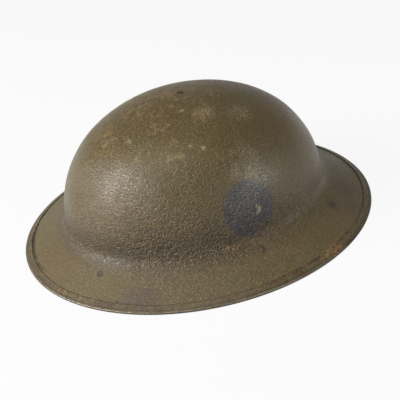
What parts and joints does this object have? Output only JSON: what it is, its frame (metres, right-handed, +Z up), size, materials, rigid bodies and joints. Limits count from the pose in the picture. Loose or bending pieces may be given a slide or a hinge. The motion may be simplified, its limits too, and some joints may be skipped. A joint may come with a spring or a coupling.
{
  "type": "helmet",
  "caption": "Broad-brimmed pressed steel helmet with a folded rim strip, a cushioned oilcloth and net liner, wire bales and a swinging leather chin strap.",
  "frame": {"origin": "middle of the rim's oval, on the plane that the rim strip stands on", "axes": "+Z up, -Y to the wearer's front, +X to the wearer's left"},
  "size_m": [0.289, 0.311, 0.1161],
  "materials": {
    "painted_steel": "rough olive-drab paint over pressed steel",
    "bare_steel": "darkened steel with light rust",
    "oilcloth": "black oilcloth, dull sheen",
    "felt": "grey-brown wool felt",
    "leather": "worn brown leather",
    "twine": "cotton twine",
    "rubber": "aged rubber tube"
  },
  "bodies": {
    "helmet": {"shell": "painted_steel", "rim_strip": "painted_steel", "crown_rivet": "painted_steel", "left_bale_rivet": "painted_steel", "right_bale_rivet": "painted_steel", "crown_washer": "bare_steel", "left_bale_lug": "bare_steel", "right_bale_lug": "bare_steel", "left_bale": "bare_steel", "right_bale": "bare_steel", "left_strap_rivet": "bare_steel", "right_strap_rivet": "bare_steel", "liner_cap": "oilcloth", "headband": "oilcloth", "liner_hem": "oilcloth", "felt_pad": "felt", "leather_washer": "leather", "left_strap_tab": "leather", "right_strap_tab": "leather", "crown_net": "twine", "drawstring": "twine", "cushion_01": "rubber", "cushion_02": "rubber", "cushion_03": "rubber", "cushion_04": "rubber", "cushion_05": "rubber", "cushion_06": "rubber", "cushion_07": "rubber", "cushion_08": "rubber", "cushion_09": "rubber", "cushion_10": "rubber", "cushion_11": "rubber", "cushion_12": "rubber"},
    "strap": {"chin_strap": "leather", "strap_tail": "leather"},
    "buckle": {"strap_buckle": "bare_steel"},
    "keeper": {"strap_keeper": "leather"}
  },
  "joints": [
    {"name": "chin_strap_swing", "type": "hinge", "parent": "helmet", "child": "strap", "pos_m": [0, 0, 0.01036], "axis": [1, 0, 0], "range_deg": [0, 180]},
    {"name": "buckle_slide", "type": "slide", "parent": "strap", "child": "buckle", "axis": [-0.2051, -0.9787, 0], "range_m": [-0.003, 0.003]},
    {"name": "keeper_slide", "type": "slide", "parent": "strap", "child": "keeper", "axis": [-0.2051, -0.9787, 0], "range_m": [-0.003, 0.003]}
  ]
}
